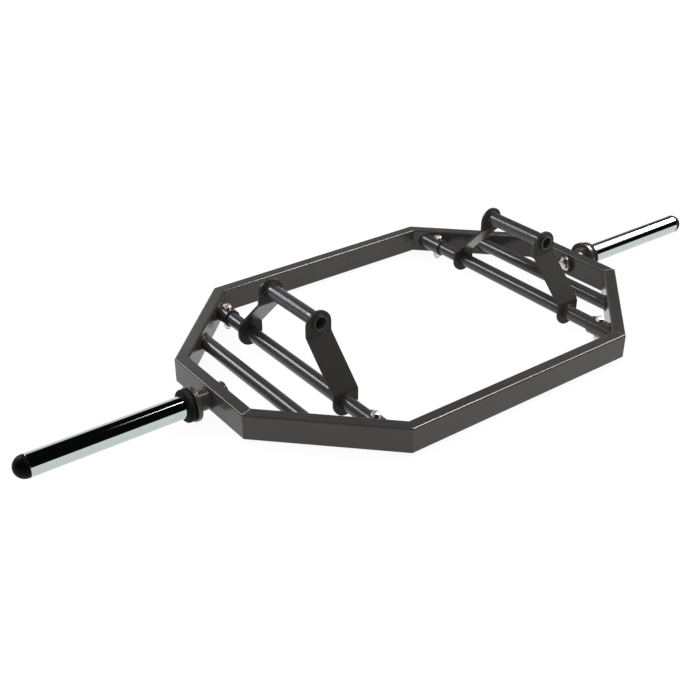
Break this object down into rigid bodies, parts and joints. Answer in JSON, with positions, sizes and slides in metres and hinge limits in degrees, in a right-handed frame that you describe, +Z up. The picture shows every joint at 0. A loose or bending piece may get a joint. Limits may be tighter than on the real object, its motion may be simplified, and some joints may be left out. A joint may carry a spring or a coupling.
{
  "type": "trap bar",
  "caption": "Octagonal trap bar of painted rectangular tube with turning raised handles, fixed low tubes and chromed plate sleeves that spin in the end rails.",
  "frame": {"origin": "under the middle of the frame, at the height of the lowest points of the two collars", "axes": "+X along the sleeves to the right, +Y to the rear rail, +Z up with the handles raised"},
  "size_m": [1.9756, 0.77, 0.216],
  "materials": {
    "frame_paint": "satin dark grey enamel",
    "grip_paint": "knurled, satin dark grey enamel",
    "collar_paint": "satin dark grey enamel",
    "sleeve_chrome": "polished chrome plate",
    "ring_rubber": "matt moulded rubber",
    "cap_plastic": "satin moulded plastic",
    "bush_nylon": "matt moulded nylon",
    "bearing_bronze": "turned sintered bronze",
    "fastener_zinc": "bright zinc plate",
    "spindle_steel": "turned steel"
  },
  "bodies": {
    "frame": {"front_rail": "frame_paint", "rear_rail": "frame_paint", "left_end_rail": "frame_paint", "right_end_rail": "frame_paint", "front_left_diagonal": "frame_paint", "front_right_diagonal": "frame_paint", "rear_left_diagonal": "frame_paint", "rear_right_diagonal": "frame_paint", "left_cross_tube": "frame_paint", "right_cross_tube": "frame_paint", "front_left_socket": "frame_paint", "front_right_socket": "frame_paint", "rear_left_socket": "frame_paint", "rear_right_socket": "frame_paint", "front_left_socket_bush": "bush_nylon", "front_right_socket_bush": "bush_nylon", "rear_left_socket_bush": "bush_nylon", "rear_right_socket_bush": "bush_nylon", "socket_bolts": "fastener_zinc", "socket_nuts": "fastener_zinc", "left_sleeve_housing": "frame_paint", "left_inner_bearing": "bearing_bronze", "left_outer_bearing": "bearing_bronze", "left_thrust_washer": "fastener_zinc", "right_sleeve_housing": "frame_paint", "right_inner_bearing": "bearing_bronze", "right_outer_bearing": "bearing_bronze", "right_thrust_washer": "fastener_zinc"},
    "left_handle": {"left_pivot_tube": "frame_paint", "left_front_arm": "frame_paint", "left_rear_arm": "frame_paint", "left_grip": "grip_paint"},
    "right_handle": {"right_pivot_tube": "frame_paint", "right_front_arm": "frame_paint", "right_rear_arm": "frame_paint", "right_grip": "grip_paint"},
    "left_sleeve": {"left_spindle": "spindle_steel", "left_flange": "collar_paint", "left_rubber_ring": "ring_rubber", "left_sleeve_tube": "sleeve_chrome", "left_end_cap": "cap_plastic", "left_retaining_washer": "fastener_zinc", "left_retaining_bolt": "fastener_zinc"},
    "right_sleeve": {"right_spindle": "spindle_steel", "right_flange": "collar_paint", "right_rubber_ring": "ring_rubber", "right_sleeve_tube": "sleeve_chrome", "right_end_cap": "cap_plastic", "right_retaining_washer": "fastener_zinc", "right_retaining_bolt": "fastener_zinc"}
  },
  "joints": [
    {"name": "left_handle_turn", "type": "hinge", "parent": "frame", "child": "left_handle", "pos_m": [-0.335, 0, 0.04], "axis": [0, 1, 0], "range_deg": [-62.5, 92]},
    {"name": "right_handle_turn", "type": "hinge", "parent": "frame", "child": "right_handle", "pos_m": [0.335, 0, 0.04], "axis": [0, -1, 0], "range_deg": [-62.5, 92]},
    {"name": "left_sleeve_spin", "type": "hinge", "parent": "frame", "child": "left_sleeve", "pos_m": [-0.76, 0, 0.04], "axis": [1, 0, 0], "continuous": true},
    {"name": "right_sleeve_spin", "type": "hinge", "parent": "frame", "child": "right_sleeve", "pos_m": [0.76, 0, 0.04], "axis": [1, 0, 0], "continuous": true}
  ]
}
